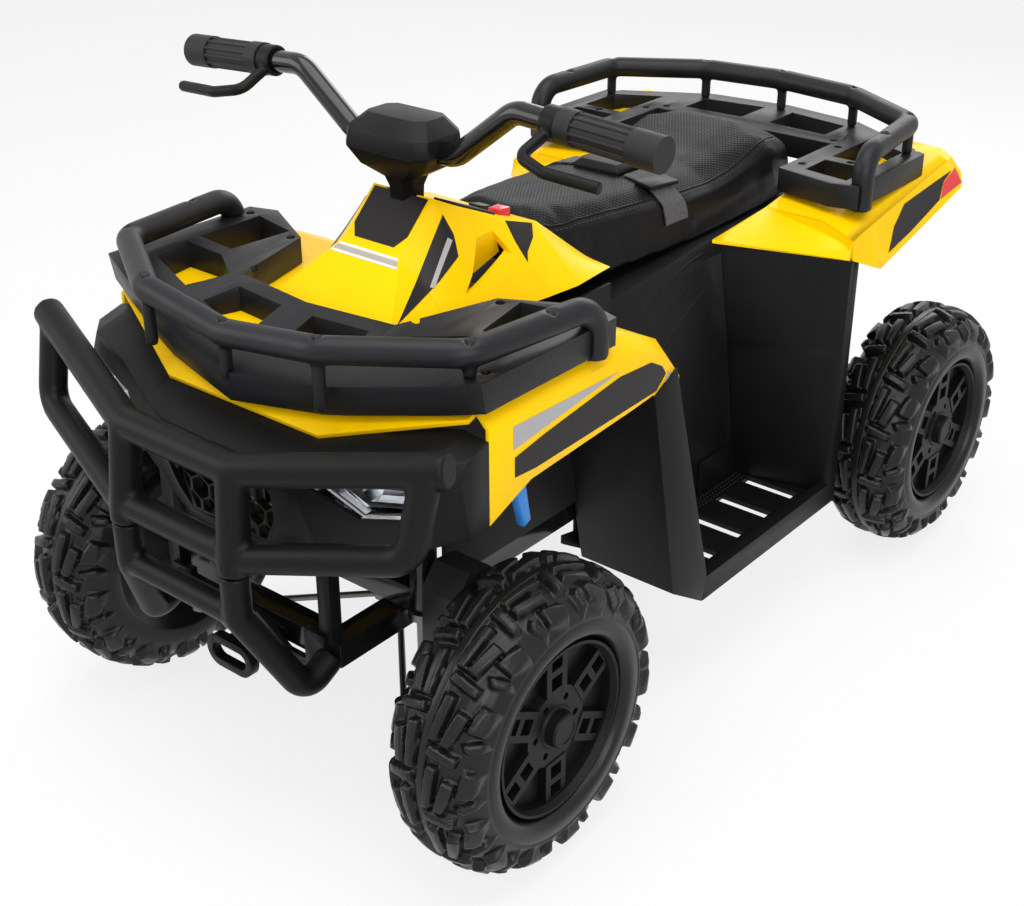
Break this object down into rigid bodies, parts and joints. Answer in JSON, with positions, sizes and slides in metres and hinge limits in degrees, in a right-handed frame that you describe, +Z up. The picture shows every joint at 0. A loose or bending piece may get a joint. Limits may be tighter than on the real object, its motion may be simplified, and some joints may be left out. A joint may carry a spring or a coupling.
{
  "type": "kids quad bike",
  "caption": "Battery ride-on quad bike for children: bull bar, front and rear racks, footwells, vinyl seat with lap belt, steered front wheels and moulded off-road tyres.",
  "frame": {"origin": "on the floor under the middle of the overall box", "axes": "+Z up, front towards -Y, rider's left towards +X"},
  "size_m": [0.607, 1.1022, 0.6667],
  "materials": {
    "yellow_plastic": "gloss moulded",
    "black_plastic": "fine moulded grain",
    "grey_plastic": "satin moulded",
    "red_plastic": "gloss",
    "blue_plastic": "satin",
    "black_steel": "gloss powder coat",
    "bare_steel": "zinc plated",
    "tyre_plastic": "satin moulded",
    "grip_rubber": "matte",
    "seat_vinyl": "textured vinyl",
    "webbing": "woven",
    "clear_lens": "clear",
    "silver_bowl": "metallised"
  },
  "bodies": {
    "chassis": {"main_frame": "black_steel", "rear_axle": "bare_steel", "gearbox_left": "grey_plastic", "gearbox_right": "grey_plastic", "front_hood": "yellow_plastic", "tank_cover": "yellow_plastic", "rear_fender": "yellow_plastic", "front_fascia": "black_plastic", "grille_mesh": "black_plastic", "headlight_lens_left": "clear_lens", "headlight_lens_right": "clear_lens", "headlight_reflector_left": "silver_bowl", "headlight_reflector_right": "silver_bowl", "bumper_upper": "black_plastic", "bumper_lower": "black_plastic", "skid_plate": "black_plastic", "front_rack_tray": "black_plastic", "front_rack_rail": "black_plastic", "rear_rack_tray": "black_plastic", "rear_rack_rail": "black_plastic", "footwell_left": "black_plastic", "footwell_right": "black_plastic", "centre_body": "black_plastic", "seat": "seat_vinyl", "battery": "black_plastic", "control_box": "black_plastic", "dash_panel": "grey_plastic", "lamp_connector": "blue_plastic", "belt_straps": "webbing", "belt_buckle": "black_plastic", "belt_adjuster": "black_plastic"},
    "steering": {"steering_column": "bare_steel", "handlebar_tube": "black_steel", "bar_cover_upper": "black_plastic", "bar_cover_lower": "black_plastic", "grip_left": "grip_rubber", "grip_right": "grip_rubber", "lever_left": "black_plastic", "lever_right": "black_plastic"},
    "tie_rod_left": {"tie_rod_left": "bare_steel"},
    "tie_rod_right": {"tie_rod_right": "bare_steel"},
    "knuckle_left": {"kingpin_left": "bare_steel", "knuckle_left": "grey_plastic"},
    "knuckle_right": {"kingpin_right": "bare_steel", "knuckle_right": "grey_plastic"},
    "start_button": {"start_button": "red_plastic"},
    "direction_switch": {"direction_switch": "grey_plastic"},
    "accelerator_pedal": {"accelerator_pedal": "black_plastic"},
    "wheel_front_left": {"tyre_front_left": "tyre_plastic", "wheel_cover_front_left": "black_plastic", "hub_cap_front_left": "black_plastic"},
    "wheel_front_right": {"tyre_front_right": "tyre_plastic", "wheel_cover_front_right": "black_plastic", "hub_cap_front_right": "black_plastic"},
    "wheel_rear_left": {"tyre_rear_left": "tyre_plastic", "wheel_cover_rear_left": "black_plastic", "hub_cap_rear_left": "black_plastic"},
    "wheel_rear_right": {"tyre_rear_right": "tyre_plastic", "wheel_cover_rear_right": "black_plastic", "hub_cap_rear_right": "black_plastic"}
  },
  "joints": [
    {"name": "steering_turn", "type": "hinge", "parent": "chassis", "child": "steering", "pos_m": [0, -0.22875, 0.4], "axis": [0, 0, 1], "range_deg": [-24, 24]},
    {"name": "left_kingpin_turn", "type": "hinge", "parent": "chassis", "child": "knuckle_left", "pos_m": [0.133, -0.36475, 0.15], "axis": [0, 0, 1], "range_deg": [-24, 24]},
    {"name": "left_tie_rod_swing", "type": "hinge", "parent": "steering", "child": "tie_rod_left", "pos_m": [0.012, -0.27375, 0.124], "axis": [0, 0, 1], "range_deg": [-24, 24]},
    {"name": "right_kingpin_turn", "type": "hinge", "parent": "chassis", "child": "knuckle_right", "pos_m": [-0.133, -0.36475, 0.15], "axis": [0, 0, 1], "range_deg": [-24, 24]},
    {"name": "right_tie_rod_swing", "type": "hinge", "parent": "steering", "child": "tie_rod_right", "pos_m": [-0.012, -0.27375, 0.124], "axis": [0, 0, 1], "range_deg": [-24, 24]},
    {"name": "front_left_wheel_spin", "type": "hinge", "parent": "knuckle_left", "child": "wheel_front_left", "pos_m": [0.254, -0.36475, 0.15], "axis": [1, 0, 0], "continuous": true},
    {"name": "front_right_wheel_spin", "type": "hinge", "parent": "knuckle_right", "child": "wheel_front_right", "pos_m": [-0.254, -0.36475, 0.15], "axis": [1, 0, 0], "continuous": true},
    {"name": "rear_left_wheel_spin", "type": "hinge", "parent": "chassis", "child": "wheel_rear_left", "pos_m": [0.254, 0.40125, 0.15], "axis": [1, 0, 0], "continuous": true},
    {"name": "rear_right_wheel_spin", "type": "hinge", "parent": "chassis", "child": "wheel_rear_right", "pos_m": [-0.254, 0.40125, 0.15], "axis": [1, 0, 0], "continuous": true},
    {"name": "start_button_press", "type": "slide", "parent": "chassis", "child": "start_button", "axis": [0, 0, -1], "range_m": [0, 0.003], "stiffness_N_per_m": 600, "springref_m": -0.002},
    {"name": "direction_switch_rock", "type": "hinge", "parent": "chassis", "child": "direction_switch", "pos_m": [0.017, -0.14375, 0.51598], "axis": [1, 0, 0], "range_deg": [-8, 8]},
    {"name": "accelerator_press", "type": "hinge", "parent": "chassis", "child": "accelerator_pedal", "pos_m": [-0.176, 0.06025, 0.125], "axis": [1, 0, 0], "range_deg": [0, 14], "stiffness_Nm_per_rad": 3, "springref_deg": -11.46}
  ],
  "couplings": [
    {"joint": "left_kingpin_turn", "follows": "steering_turn", "ratio": 1},
    {"joint": "left_tie_rod_swing", "follows": "steering_turn", "ratio": -1},
    {"joint": "right_kingpin_turn", "follows": "steering_turn", "ratio": 1},
    {"joint": "right_tie_rod_swing", "follows": "steering_turn", "ratio": -1}
  ]
}
